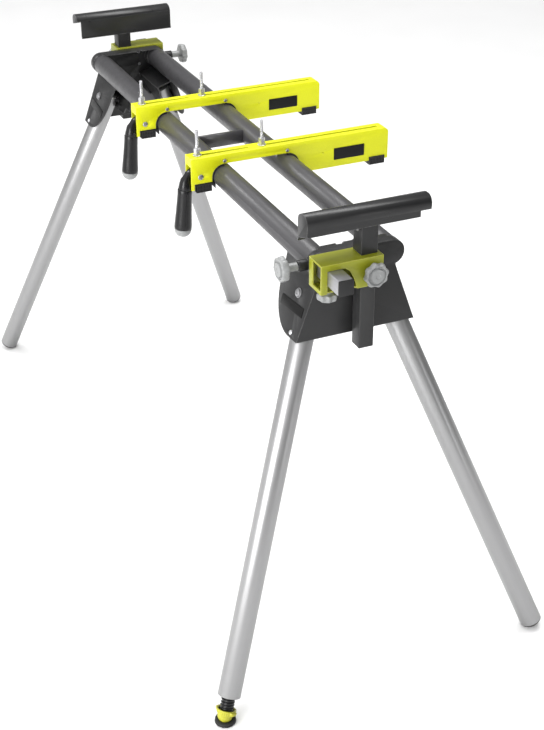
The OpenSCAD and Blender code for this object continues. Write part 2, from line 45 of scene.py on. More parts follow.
PIVOT = (505.0, 59.5, 646.7)  # bolt of the near right leg
LEAN, RAKE = 20.1, 14.9  # tilt of an open leg away from the rails, and away from the middle
SIDE_OUT = 21.8  # from a leg's middle plane to the outer face of its flange
RAIL_Y, RAIL_Z = 60.0, 714.0
BOSS_X, BOSS_END = 530.0, 95.0  # boss of a rail knob, and how far out it reaches
PLATE_X = 543.0  # outer face of an end plate
POST_X, POST_Y, POST_HALF = 566.0, 1.5, 14.0
BOX_X1, BOX_Z0 = 590.0, 689.0  # outer face and underside of a lime box
CARRIER_KNOB_X = 563.0
POST_KNOB_Y = 3.0
SADDLE_X = {"near": 140.0, "far": -147.0}
SADDLE_TOP = 754.0
SADDLE_HALF = 14.0
HUB = (-104.0, 719.0)  # Y and Z of a lever's bolt
STUD_Y = {"a": -104.0, "b": 17.0}
FOOT_BALL_Z = 15.0
LEVEL_Z = 45.0  # cut end of the leg that has the levelling foot
TILT = math.cos(math.radians(LEAN)) * math.cos(math.radians(RAKE))


def leg_frame(end, side, opened=False):
    """A leg's placement: origin on its bolt, -Y out through the flange, +Z up the leg."""
    mirror = Matrix.Diagonal((1 if end == "near" else -1, 1 if side == "left" else -1, 1, 1))
    placed = mirror @ Matrix.Translation((PIVOT[0], -PIVOT[1], PIVOT[2]))
    placed = placed @ Matrix.Rotation(-math.radians(LEAN), 4, "X")
    if opened:
        placed = placed @ Matrix.Rotation(-math.radians(RAKE), 4, "Y")
    return placed


# ---------- materials ----------

class Surface:
    """A procedural material built up from layers of noise in object space."""

    def __init__(self, name, metallic=0.0, **sockets):
        self.material = bpy.data.materials.new(name)
        self.material.use_nodes = True
        self.tree = self.material.node_tree
        self.shader = self.tree.nodes["Principled BSDF"]
        self.shader.inputs["Metallic"].default_value = metallic
        for key, value in sockets.items():
            self.shader.inputs[key.replace("_", " ")].default_value = value
        self.place = self.add("TexCoord").outputs["Object"]
        self.normal = None

    def add(self, kind, inputs=(), **props):
        made = self.tree.nodes.new("ShaderNode" + kind)
        for key, value in props.items():
            setattr(made, key, value)
        for key, value in dict(inputs).items():
            if isinstance(value, bpy.types.NodeSocket):
                self.tree.links.new(value, made.inputs[key])
            else:
                made.inputs[key].default_value = value
        return made

    def along(self, axis, stretch=40.0):
        """Object coordinates squeezed along an axis, for drawn and brushed lines."""
        turn = Vector(axis).normalized().rotation_difference(Vector((0, 0, 1)))
        turned = self.add("Mapping", {"Vector": self.place, "Rotation": turn.to_euler()})
        return self.add("Mapping", {"Vector": turned.outputs[0],
                                    "Scale": (1, 1, 1 / stretch)}).outputs[0]

    def noise(self, scale, detail=3.0, rough=0.55, place=None):
        return self.add("TexNoise", {"Vector": place or self.place, "Scale": scale,
                                     "Detail": detail, "Roughness": rough}).outputs[0]

    def span(self, value, low, high, to_low=0.0, to_high=1.0):
        return self.add("MapRange", {"Value": value, "From Min": low, "From Max": high,
                                     "To Min": to_low, "To Max": to_high}).outputs[0]

    def times(self, a, b):
        return self.add("Math", {0: a, 1: b}, operation="MULTIPLY").outputs[0]

    def blend(self, share, a, b):
        """Colour a going over to colour b; sockets 0, 6, 7 and 2 are a colour mix's own."""
        a, b = (c if isinstance(c, bpy.types.NodeSocket) else (*c, 1.0) for c in (a, b))
        return self.add("Mix", {0: share, 6: a, 7: b}, data_type="RGBA").outputs[2]

    def bump(self, height, strength, depth):
        made = self.add("Bump", {"Height": height, "Strength": strength, "Distance": depth})
        if self.normal:
            self.tree.links.new(self.normal, made.inputs["Normal"])
        self.normal = made.outputs[0]

    def edges(self, radius, low=0.03, high=0.3):
        """1 along outer and inner edges, 0 on the flats."""
        soft = self.add("Bevel", {"Radius": radius}, samples=4).outputs[0]
        true = self.add("NewGeometry").outputs["Normal"]
        dot = self.add("VectorMath", {0: soft, 1: true}, operation="DOT_PRODUCT").outputs["Value"]
        return self.span(dot, 1 - low, 1 - high)

    def finish(self, colour, roughness):
        links = self.tree.links
        links.new(colour, self.shader.inputs["Base Color"])
        links.new(roughness, self.shader.inputs["Roughness"])
        if self.normal:
            links.new(self.normal, self.shader.inputs["Normal"])
        return self.material


def shade(colour, factor):
    return tuple(min(1.0, c * factor) for c in colour)


def coated(name, base, rough, peel=0.25, wear_and_highlight_colour=None, edge_lightening=0.5, blotch=0.1, **sockets):
    """Powder coat: orange peel, faint cloudiness, specks, edges lightened as rubbed wear and as a
    painted highlight along folds and rims, and a little dust.
    """
    s = Surface(name, **sockets)
    cloud = s.noise(14, 5)
    fine = s.noise(1400, 2)
    colour = s.blend(s.span(cloud, 0.3, 0.7), shade(base, 1 - blotch), shade(base, 1 + blotch))
    colour = s.blend(s.span(fine, 0.45, 0.75, 0, 0.35), colour, shade(base, 1.5))
    # edges lightened towards the edge colour: rubbed wear, and where that colour is pale, a painted
    # highlight along folds and rims
    lightened_edges = s.times(s.edges(0.0021, 0.02, 0.25), s.span(s.noise(160, 6, 0.7), 0.3, 0.6, 0, edge_lightening))
    colour = s.blend(lightened_edges, colour, wear_and_highlight_colour or shade(base, 2.2))
    scuff = s.span(s.noise(55, 8, 0.75), 0.66, 0.74, 0, 0.3)
    colour = s.blend(scuff, colour, shade(base, 1.6))
    s.bump(s.noise(850, 2), peel, 0.00035)
    s.bump(s.noise(30, 2), 0.06, 0.001)
    return s.finish(colour, s.span(s.noise(45, 6, 0.65), 0.3, 0.7, rough - 0.06, rough + 0.08))


def drawn(name, base, rough, axis, dark=0.75, metallic=0.9, lines=0.1, marks=0.3, mottle=1.0,
          **sockets):
    """Drawn or brushed metal with fine lines along an axis, handling marks and dulled patches."""
    s = Surface(name, metallic, **sockets)
    line = s.noise(900, 3, 0.6, s.along(axis, 60))
    broad = s.noise(16, 4)
    colour = s.blend(s.span(line, 0.35, 0.65, 0, 0.45), base, shade(base, dark))
    colour = s.blend(s.span(broad, 0.45, 0.75, 0, 0.35 * mottle), colour, shade(base, 0.9))
    spot = s.span(s.noise(240, 5, 0.7), 0.64, 0.76, 0, marks)
    colour = s.blend(spot, colour, shade(base, 0.62))
    s.bump(line, lines, 0.0002)
    s.bump(s.noise(120, 3), 0.02, 0.0002)
    return s.finish(colour, s.span(s.noise(60, 6, 0.65), 0.3, 0.7, rough - 0.07 * mottle,
                                   rough + 0.1 * mottle))


def moulded(name, base, rough, grain=0.2, size=1500, edge_lightening=0.3, **sockets):
    """Injection-moulded plastic: spark-eroded grain, faint flow marks and polished edges."""
    s = Surface(name, **sockets)
    flow = s.noise(22, 3, 0.5, s.along((0.2, 0.3, 1), 4))
    colour = s.blend(s.span(flow, 0.3, 0.7), shade(base, 0.88), shade(base, 1.12))
    speck = s.span(s.noise(size, 2), 0.5, 0.8, 0, 0.3)
    colour = s.blend(speck, colour, shade(base, 1.35))
    lightened_edges = s.times(s.edges(0.0009), s.span(s.noise(200, 5, 0.7), 0.4, 0.65, 0, edge_lightening))
    colour = s.blend(lightened_edges, colour, shade(base, 1.9))
    s.bump(s.noise(size, 2), grain, 0.00025)
    s.bump(s.noise(40, 2), 0.05, 0.0008)
    return s.finish(colour, s.span(s.noise(70, 5, 0.6), 0.3, 0.7, rough - 0.05, rough + 0.08))


RAIL = coated("rail_grey", (0.046, 0.045, 0.048), 0.36, edge_lightening=0.25, blotch=0.08)
# bracket, bar and post: their pale edge colours are painted highlights along folds, rims and edges,
# as well as rubbed wear
BRACKET = coated("bracket_grey", (0.018, 0.018, 0.0185), 0.36, edge_lightening=0.8, blotch=0.12,
                 wear_and_highlight_colour=(0.20, 0.20, 0.20), Specular_IOR_Level=0.25)
BAR = coated("bar_black", (0.009, 0.009, 0.0095), 0.32, peel=0.12, edge_lightening=0.8, blotch=0.12,
             wear_and_highlight_colour=(0.22, 0.22, 0.22), Specular_IOR_Level=0.42)
POST = coated("post_black", (0.021, 0.021, 0.0215), 0.34, edge_lightening=0.85, blotch=0.12,
              wear_and_highlight_colour=(0.22, 0.22, 0.22), Specular_IOR_Level=0.25)
LIME = coated("lime_coat", (0.62, 0.64, 0.006), 0.38, peel=0.18, wear_and_highlight_colour=(0.86, 0.84, 0.18),
              edge_lightening=0.6, blotch=0.035, Specular_IOR_Level=0.3)
# carrier box: the lime coat darkened as painted shade, and its pale edge colour is a painted
# highlight along the rims as well as wear
LIME_BOX_SHADED = coated("lime_box_shaded_coat", (0.245, 0.26, 0.014), 0.34, peel=0.18,
                  wear_and_highlight_colour=(0.70, 0.66, 0.20), edge_lightening=0.95, blotch=0.06, Specular_IOR_Level=0.36)
STEEL = drawn("zinc_steel", (0.66, 0.66, 0.68), 0.28, (0, 0, 1), lines=0.06)
SCREW = drawn("screw_steel", (0.36, 0.36, 0.37), 0.32, (0, 0, 1), lines=0.05)
TUBE = drawn("extension_steel", (0.40, 0.40, 0.42), 0.36, (1, 0, 0), metallic=0.85)
BLACK = moulded("black_plastic", (0.010, 0.010, 0.0105), 0.34, edge_lightening=0.7,
                Specular_IOR_Level=0.33)
GRIP = moulded("grip_plastic", (0.0055, 0.0055, 0.006), 0.2, grain=0.05, edge_lightening=0.6,
               Specular_IOR_Level=0.33)
PLATE = moulded("badge_plastic", (0.0035, 0.0035, 0.0035), 0.34, grain=0.05, edge_lightening=0.15,
                Specular_IOR_Level=0.2)
RUBBER = moulded("rubber", (0.010, 0.010, 0.0095), 0.66, grain=0.35, size=900)
GREY = moulded("grey_plastic", (0.235, 0.24, 0.24), 0.32, grain=0.12, edge_lightening=0.3)
LIME_PLASTIC = moulded("lime_plastic", (0.37, 0.36, 0.018), 0.38, grain=0.1, edge_lightening=0.2)
LEGS = {}
for e in ENDS:
    for s in SIDES:
        down = leg_frame(e, s, opened=True).to_3x3() @ Vector((0, 0, -1))
        LEGS[e, s] = drawn(f"leg_silver_{e}_{s}", (0.33, 0.33, 0.333), 0.36, down, dark=0.94,
                           metallic=0.88, lines=0.03, marks=0.04, mottle=0.25)

# finish of each CAD node that stays, and the radius of its rounded edges in millimetres
CAD_LOOKS = {
    "rail_left": (RAIL, 0.4), "rail_right": (RAIL, 0.4), "cross_tube": (RAIL, 0.0),
    "tube_guides": (BLACK, 0.4), "knob_bosses": (BRACKET, 0.8),
}
for e in ENDS:
    CAD_LOOKS.update({
        f"end_bracket_{e}": (BRACKET, 0.5), f"leg_cheeks_{e}": (BRACKET, 0.5),
        f"extension_tube_{e}": (TUBE, 0.3), f"extension_plastics_{e}": (BLACK, 0.6),
        f"carrier_{e}": (LIME_BOX_SHADED, 0.8), f"post_{e}": (POST, 1.0), f"support_bar_{e}": (BAR, 0.4),
        f"saddle_{e}": (LIME, 0.8), f"saddle_pads_{e}": (BLACK, 0.5),
        f"clamp_jaw_{e}": (BLACK, 0.8),
    })
    for s in SIDES:
        CAD_LOOKS[f"leg_tube_{e}_{s}"] = (LEGS[e, s], 0.3)
        CAD_LOOKS[f"leg_caps_{e}_{s}"] = (RUBBER, 0.6)
        CAD_LOOKS[f"lock_button_{e}_{s}"] = (STEEL, 0.3)


WELD_GAP = 0.00001
FLAT_ANGLE = math.radians(0.5)
ROUND_ANGLE = math.radians(38)


def dress(node, material, round_mm):
    """Gives a CAD node its finish, and rounds its edges with modifiers."""
    kept = NODES[node]
    kept.data.materials.clear()
    kept.data.materials.append(material)
    kept.modifiers.new("weld", "WELD").merge_threshold = WELD_GAP
    if round_mm:
        flat = kept.modifiers.new("flat", "DECIMATE")
        flat.decimate_type = "DISSOLVE"
        flat.angle_limit = FLAT_ANGLE
        bevel = kept.modifiers.new("round", "BEVEL")
        bevel.width = round_mm * MM
        bevel.segments = 2
        bevel.limit_method = "ANGLE"
        bevel.angle_limit = ROUND_ANGLE
        bevel.harden_normals = True
    kept.data.shade_smooth()


for node, (material, round_mm) in CAD_LOOKS.items():
    dress(node, material, round_mm)


# ---------- mesh tools, in millimetres ----------

def circle(r, n=48, z=0.0):
    """A level ring; r is a number or a function of the angle."""
    ring = []
    for i in range(n):
        a = math.tau * i / n
        radius = r(a) if callable(r) else r
        ring.append(Vector((radius * math.cos(a), radius * math.sin(a), z)))
    return ring


def lathe(profile, n=48):
    return [circle(r, n, z) for r, z in profile]


class Shape:
    """Collects rings of points into one mesh."""

    def __init__(self):
        self.points, self.faces = [], []

    def skin(self, rings, loop=False):
        """Joins each ring to the next. The ends are capped, or joined to each other as a loop."""
        start, n, count = len(self.points), len(rings[0]), len(rings)
        for ring in rings:
            self.points += ring
        for k in range(count if loop else count - 1):
            low, high = start + k * n, start + (k + 1) % count * n
            for i in range(n):
                j = (i + 1) % n
                self.faces.append((low + i, low + j, high + j, high + i))
        if not loop:
            last = start + (count - 1) * n
            self.faces.append(tuple(start + i for i in reversed(range(n))))
            self.faces.append(tuple(last + i for i in range(n)))
        return self

    def join(self, other, matrix):
        base = len(self.points)
        self.points += [matrix @ p for p in other.points]
        self.faces += [tuple(base + i for i in f) for f in other.faces]
        return self


def piece(name, shape, matrix, material, body, replaces=(), angle=32.0):
    """Makes a shape into a piece that rides on a body. matrix is in millimetres."""
    mesh = bpy.data.meshes.new(name)
    mesh.from_pydata([p * MM for p in shape.points], [], shape.faces)
    mesh.validate()
    mesh.materials.append(material)
    mesh.shade_smooth()
    mesh.set_sharp_from_angle(angle=math.radians(angle))
    made = bpy.data.objects.new(name, mesh)
    bpy.context.scene.collection.objects.link(made)
    placed = matrix.copy()
    placed.translation = matrix.translation * MM
    made.matrix_world = placed
    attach(made, body)
    if replaces:
        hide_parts(*replaces)


def aimed(origin, z_axis, x_axis=(0, 0, 1)):
    """A placement whose Z points along z_axis, with X as near x_axis as it can be."""
    z = Vector(z_axis).normalized()
    x = (Vector(x_axis) - z * z.dot(Vector(x_axis))).normalized()
    turned = Matrix((x, z.cross(x), z)).transposed().to_4x4()
    turned.translation = Vector(origin)
    return turned


def far(matrix):
    """The same placement, half a turn round at the far end."""
    return Matrix.Rotation(math.pi, 4, "Z") @ matrix


def both_ends(origin, z_axis, x_axis=(0, 0, 1)):
    near = aimed(origin, z_axis, x_axis)
    return {"near": near, "far": far(near)}


def thread(r, root, pitch, z0, z1, steps=6, n=24, taper=1.0):
    """A helical thread as a skin of rings, steps of them to a turn, run out at both ends."""
    crest_end, root_start = 0.12, 0.32  # shares of the pitch, from the middle of the crest
    count = int((z1 - z0) / pitch * steps)
    rings = []
    for k in range(count + 1):
        z = z0 + (z1 - z0) * k / count
        ends = max(0.0, min(1.0, (z - z0) / taper, (z1 - z) / taper))

        def radius(a, z=z, ends=ends):
            off = abs((z / pitch - a / math.tau) % 1.0 - 0.5)
            crest = min(1.0, max(0.0, (root_start - off) / (root_start - crest_end)))
            return root + (r - root) * crest * ends
        rings.append(circle(radius, n, z))
    return rings


def hexagon(across, z0, z1, n=48):
    """A hexagonal nut or head, its corners turned down as on a real one."""
    inner = across / 2
    face, flat, chamfer = 0.94 * inner, 0.96 * inner, 0.42

    def ring(z, lift):
        made = []
        for i in range(n):
            a = math.tau * i / n
            r = inner / math.cos((a + math.pi / 6) % (math.pi / 3) - math.pi / 6)
            drop = (r - flat) * chamfer
            made.append(Vector((r * math.cos(a), r * math.sin(a), z - lift * drop)))
        return made
    return [circle(face, n, z0), ring(z0, -1), ring(z1, 1), circle(face, n, z1)]


def slab(outline, z0, z1, edge=0.35):
    """A plate with rounded edges from a flat outline of (x, y) points."""
    cx = sum(p[0] for p in outline) / len(outline)
    cy = sum(p[1] for p in outline) / len(outline)
    half_x = max(abs(p[0] - cx) for p in outline)
    half_y = max(abs(p[1] - cy) for p in outline)

    def ring(z, inset):
        sx, sy = 1 - inset / half_x, 1 - inset / half_y
        return [Vector((cx + (p[0] - cx) * sx, cy + (p[1] - cy) * sy, z)) for p in outline]
    return [ring(z0, edge), ring(z0 + edge * 0.3, edge * 0.3), ring(z0 + edge, 0),
            ring(z1 - edge, 0), ring(z1 - edge * 0.3, edge * 0.3), ring(z1, edge)]


def rounded(w, h, r, n=5):
    """A rounded rectangle as (x, y) points."""
    points = []
    for k, (sx, sy) in enumerate(((1, 1), (-1, 1), (-1, -1), (1, -1))):
        for i in range(n + 1):
            a = math.pi / 2 * (k + i / n)
            points.append((sx * (w / 2 - r) + r * math.cos(a), sy * (h / 2 - r) + r * math.sin(a)))
    return points


def cross_head(r, h, n=32):
    """A domed screw head with a sunk cross, standing on z = 0."""
    def cross(a):
        turned = (a + math.pi / 4) % (math.pi / 2) - math.pi / 4
        arm = min(r * 0.62, 0.17 * r / max(0.001, abs(math.sin(turned))))
        return max(arm, r * 0.2)
    return [circle(r, n, 0), circle(r, n, h * 0.35), circle(r * 0.93, n, h * 0.68),
            circle(r * 0.8, n, h * 0.9), circle(cross, n, h),
            circle(lambda a: 0.8 * cross(a), n, h * 0.25)]


def first_of_four(node, end, side):
    """A CAD node that four pieces stand for goes with the first of them."""
    return [node] if (end, side) == ("near", "left") else []


# ---------- knobs ----------

KNOB_LOBES = 8
KNOB_STEPS = 96
KNOB_TURN = 11.0  # degrees the lobes are turned from level


def knob_shape(r, hub_len, hub_r, thick):
    """Lobed hand knob: origin where the hub meets the seat, Z outwards."""
    def lobed(size, depth):
        return lambda a: size - depth * (1 - math.cos(KNOB_LOBES * a)) / 2
    hub = [(hub_r - 0.8, 0), (hub_r, 0.7), (hub_r, hub_len - 2.2), (hub_r + 1.6, hub_len - 0.6)]
    # radius, height above the hub and depth of the scallops
    rim = [(r * 0.72, 0, 0.3), (r - 2.4, 0.1, 1.6), (r - 0.7, 1.0, 2.3), (r, 2.6, 2.6),
           (r, thick * 0.55, 2.6), (r - 0.6, thick - 2.0, 2.5), (r - 2.0, thick - 0.5, 2.0),
           (r * 0.8, thick, 0.6)]
    # groove and raised middle of the front
    front = [(r * 0.74, thick - 0.4), (r * 0.68, thick - 2.2), (r * 0.60, thick - 2.2),
             (r * 0.56, thick - 0.4), (r * 0.54, thick + 1.1), (r * 0.5, thick + 1.5),
             (r * 0.2, thick + 1.5), (r * 0.16, thick + 0.9)]
    rings = lathe(hub, KNOB_STEPS)
    rings += [circle(lobed(size, depth), KNOB_STEPS, hub_len + z) for size, z, depth in rim]
    return Shape().skin(rings + lathe([(x, hub_len + z) for x, z in front], KNOB_STEPS))


# place, radius, hub length, hub radius, thickness and stud length
KNOBS = {
    "rail_knob": (both_ends((BOSS_X, -BOSS_END - 0.1, RAIL_Z), (0, -1, 0)),
                  20.5, 19.5, 6.8, 12, 22),
    "carrier_knob": (both_ends((CARRIER_KNOB_X, -RAIL_Y, BOX_Z0 - 2), (0, 0, -1), (1, 0, 0)),
                     16.5, 9, 9, 12, 14),
    "post_knob": (both_ends((BOX_X1 + 1, POST_KNOB_Y, RAIL_Z - 3), (1, 0, 0)),
                  20.5, 5, 9, 10, 10),
}
for name, (places, r, hub_len, hub_r, thick, stud_len) in KNOBS.items():
    for e in ENDS:
        turned = places[e] @ Matrix.Rotation(math.radians(KNOB_TURN), 4, "Z")
        piece(f"{name}_{e}_grip", knob_shape(r, hub_len, hub_r, thick), turned, GREY,
              f"{name}_{e}", [f"{name}_{e}"])
        stud = Shape().skin(thread(4, 3.4, 1.25, -stud_len, 0.6))  # M8
        piece(f"{name}_{e}_stud", stud, turned, STEEL, f"{name}_{e}")


# ---------- bolts, plates and screws of the frame ----------

PLATE_THICK = 1.0
BOLT_HEAD = [(7.2, 0), (8, 0.3), (8, 0.9), (7.4, 1.2), (6.6, 1.25), (6.5, 2.2), (6.0, 3.3),
             (4.6, 4.0), (2.6, 4.2), (2.3, 3.4)]
BOLT_END = -2 * SIDE_OUT - 5.0
FLANGE_PLATE = (74, 16, 1.2)  # length, height and corner radius
FLANGE_PLATE_AT = (-6.4, -SIDE_OUT, -25)
FLANGE_PLATE_TILT = 5.0
PLATE_SCREW_Y, PLATE_SCREW_Z = -26.3, (RAIL_Z - 14.2, RAIL_Z + 11.2)
POST_SCREW_Z = 775.0


def bolt_shape():
    """Leg bolt: domed head on z = 0, shank through both walls and a nut behind them."""
    bolt = Shape().skin(lathe(BOLT_HEAD)).skin(lathe([(5, BOLT_END), (5, 0.1)], 32))
    return bolt.skin(hexagon(12.2, BOLT_END + 2, BOLT_END + 5))


for e in ENDS:
    for s in SIDES:
        place = leg_frame(e, s)
        turn = place.to_3x3()
        outward, up = turn @ Vector((0, -1, 0)), turn @ Vector((0, 0, 1))
        at = aimed(place @ Vector((0, -SIDE_OUT, 0)), outward, up)
        piece(f"pivot_bolt_{e}_{s}", bolt_shape(), at, SCREW, "frame",
              first_of_four("bracket_bolts", e, s))
        tilt = math.radians(FLANGE_PLATE_TILT)
        run = turn @ Vector((math.cos(tilt), 0, math.sin(tilt)))
        badge = Shape().skin(slab(rounded(*FLANGE_PLATE), 0, PLATE_THICK))
        at = aimed(place @ Vector(FLANGE_PLATE_AT), outward, run)
        piece(f"flange_plate_{e}_{s}", badge, at, PLATE, "frame",
              first_of_four("bracket_badges", e, s))
    for k, z in enumerate(PLATE_SCREW_Z):
        at = both_ends((PLATE_X, PLATE_SCREW_Y, z), (-1, 0, 0))[e]
        piece(f"plate_screw_{e}_{k}", Shape().skin(cross_head(3.2, 1.8)), at, SCREW, "frame")
    at = both_ends((POST_X, POST_Y - POST_HALF, POST_SCREW_Z), (0, -1, 0))[e]
    piece(f"post_screw_{e}", Shape().skin(cross_head(3.0, 1.4)), at, SCREW, f"post_{e}")


# ---------- saddles ----------

SADDLE_PLATE = (60.5, 22, 1.0)  # length, height and corner radius
SADDLE_PLATE_AT = (181.2, 720)  # Y and Z of its middle
LINER_SCREW_Y, LINER_SCREW_Z = (-59, 60), RAIL_Z + 28
PIN_END = -28.0  # far wall of the saddle, from the lever bolt's head


def lever_pin_shape():
    """Lever bolt: cross head on z = 0, shank through the saddle and a nut behind it."""
    pin = Shape().skin(cross_head(5, 1.9)).skin(lathe([(3.5, PIN_END), (3.5, 0.1)], 32))
    return pin.skin(hexagon(9.6, PIN_END - 2, PIN_END))


def stud_shape():
    """Clamping stud, with z = 0 on the saddle's top."""
    stud = Shape()
    stud.skin(lathe([(7.1, 0.1), (7.5, 0.4), (7.5, 1.8), (7.1, 2.1), (5.5, 2.1)]))  # washer
    stud.skin(hexagon(10.6, 2.0, 13.9))  # tall nut
    stud.skin(lathe([(4.6, 13.9), (4.4, 14.3), (3.2, 14.3)]))
    stud.skin(thread(3.0, 2.45, 1.0, 13.5, 45.6))
    stud.skin(lathe([(2.5, 45.4), (2.2, 46.0)], 24))  # tip
    stud.skin(lathe([(6.4, -6.6), (7, -6.2), (7, -3.0), (6.6, -2.6)]))  # head under the slot
    neck = rounded(6.2, 6.2, 0.6)
    return stud.skin([[Vector((x, y, z)) for x, y in neck] for z in (-2.7, 0.2)])


for e in ENDS:
    x, front, saddle = SADDLE_X[e], SADDLE_X[e] + SADDLE_HALF, f"saddle_{e}"
    badge = Shape().skin(slab(rounded(*SADDLE_PLATE), 0, PLATE_THICK))
    piece(f"saddle_plate_{e}", badge, aimed((front, *SADDLE_PLATE_AT), (1, 0, 0), (0, 1, 0)),
          PLATE, saddle, [f"saddle_badge_{e}"])
    piece(f"lever_pivot_{e}", lever_pin_shape(), aimed((front, *HUB), (1, 0, 0)), SCREW, saddle,
          [f"saddle_screws_{e}"])
    for k, y in enumerate(LINER_SCREW_Y):
        screw = Shape().skin(cross_head(3.4, 1.8)).skin(lathe([(2, -2.5), (2, 0.1)], 24))
        piece(f"liner_screw_{e}_{k}", screw, aimed((front, y, LINER_SCREW_Z), (1, 0, 0)), SCREW,
              saddle)
    for k, y in STUD_Y.items():
        at = aimed((x, y, SADDLE_TOP), (0, 0, 1), (1, 0, 0))
        piece(f"clamp_stud_{e}_{k}_bolt", stud_shape(), at, STEEL, f"clamp_stud_{e}_{k}",
              [f"clamp_stud_{e}_{k}"])


def ribbed(w, h, cols, rows, wall, depth, pocket_z=0.1):
    """A moulded face with rows of square pockets: one closed mesh, back at z = 0."""
    def cuts(size, count):
        pocket = (size - wall * (count + 1)) / count
        at = [-size / 2]
        for _ in range(count):
            at += [at[-1] + wall, at[-1] + wall + pocket]
        return at + [size / 2]
    xs, ys = cuts(w, cols), cuts(h, rows)
    made, index = Shape(), {}

    def corner(i, j, z):
        if (i, j, z) not in index:
            index[i, j, z] = len(made.points)
            made.points.append(Vector((xs[i], ys[j], z)))
        return index[i, j, z]

    def height(i, j):
        if not (0 <= i < len(xs) - 1 and 0 <= j < len(ys) - 1):
            return 0.0
        return pocket_z if i % 2 and j % 2 else depth
    for i in range(len(xs) - 1):
        for j in range(len(ys) - 1):
            top = height(i, j)
            square = [(i, j), (i + 1, j), (i + 1, j + 1), (i, j + 1)]
            made.faces.append(tuple(corner(*c, top) for c in square))
            made.faces.append(tuple(corner(*c, 0.0) for c in reversed(square)))
            for k, (di, dj) in enumerate(((0, -1), (1, 0), (0, 1), (-1, 0))):
                low = height(i + di, j + dj)
                if low < top:
                    a, b = square[k], square[(k + 1) % 4]
                    made.faces.append((corner(*a, low), corner(*b, low), corner(*b, top),
                                       corner(*a, top)))
    return made


# middle Y and Z, length of the face, and the start of the name of the body it is on
RIBS = {
    "clamp_jaw": (-98, 698.9, 28, "clamp_jaw"),
    "long_end_shoe": (237.5, 695.5, 31, "saddle"),
}
for e in ENDS:
    for name, (y, z, wide, body) in RIBS.items():
        ribs = ribbed(wide - 0.6, 14.4, 5, 2, 1.3, 1.1)
        at = aimed((SADDLE_X[e] + SADDLE_HALF + 1, y, z), (1, 0, 0), (0, 1, 0))
        piece(f"{name}_ribs_{e}", ribs, at, BLACK, f"{body}_{e}", angle=20)


# ---------- levers ----------

# Y and Z from the hub, half width, half thickness, and how square the section is (2 is round)
SPINE = [(3.0, -1.5, 6.5, 8.2, 4.6), (0, 0, 8.8, 8.8, 4.6), (-4.5, 2.2, 9.6, 9, 4.6),
         (-9.5, 3.2, 10.4, 9, 4.6), (-13.5, 0.4, 10.4, 6.4, 4.6), (-17.0, -4.5, 10.2, 6.7, 3.6),
         (-21.4, -9.2, 10.4, 10.2, 2.8), (-23.0, -15.6, 11.2, 11.6, 2.25),
         (-24.0, -20.4, 11.8, 12.3, 2.05), (-24.6, -25, 11.6, 11.9, 2.0)]
GRIP_END = -66.6
GRIP_PROFILE = [(14.8, GRIP_END), (15.4, -65.8), (15.6, -63.5), (15.4, -59), (14.9, -50),
                (14.2, -38), (13.6, -24), (13.3, -18), (13.1, -12), (12.95, -6.2), (12.9, -1.0),
                (12.9, 5.5), (12.6, 6.3), (11.9, 6.6), (9.0, 6.3)]
CAP_PROFILE = [(0.6, -15.4), (4.4, -15.0), (8.4, -13.6), (11.6, -11.0), (13.8, -7.6),
               (15.0, -3.8), (15.3, -1.6), (15.2, -0.7), (14.4, 0.0)]
GRIP_PLACE = Matrix.Translation((0, -25, -29)) @ Matrix.Rotation(math.radians(-5), 4, "X")


def squircle(w, t, power, n=32):
    """Ring of half width w and half thickness t, between an ellipse and a rectangle."""
    ring = []
    for i in range(n):
        a = math.tau * i / n
        c, s = math.cos(a), math.sin(a)
        ring.append((w * math.copysign(abs(c) ** (2 / power), c),
                     t * math.copysign(abs(s) ** (2 / power), s)))
    return ring


def lever_shape():
    """Curved arm from the cam hub to the grip; Y and Z from the hub, X across the saddle."""
    rings = []
    for k, (y, z, w, t, power) in enumerate(SPINE):
        a, b = SPINE[max(0, k - 1)], SPINE[min(len(SPINE) - 1, k + 1)]
        run = Vector((0, b[0] - a[0], b[1] - a[1])).normalized()
        across = Vector((1, 0, 0)).cross(run)
        rings.append([Vector((q, y, z)) + across * p for p, q in squircle(w, t, power)])
    arm = Shape().skin([list(reversed(r)) for r in rings])
    return arm.join(Shape().skin(lathe(GRIP_PROFILE, 64)), GRIP_PLACE)


for e in ENDS:
    at = Matrix.Translation((SADDLE_X[e], *HUB))
    piece(f"lever_{e}_arm", lever_shape(), at, GRIP, f"lever_{e}", [f"lever_{e}"],
          angle=50)
    cap_at = at @ GRIP_PLACE @ Matrix.Translation((0, 0, GRIP_END))
    piece(f"lever_{e}_cap", Shape().skin(lathe(CAP_PROFILE, 64)), cap_at, GREY, f"lever_{e}",
          [f"lever_cap_{e}"])


# ---------- levelling foot ----------

BALL_R = 13.0
DISH_R = 13.08  # the pad's dish, a hair wider than the ball
COLLAR_STEPS = 168
COLLAR_KNURLS = 28
EAR_TURN, EAR_HALF = math.radians(20), 0.42
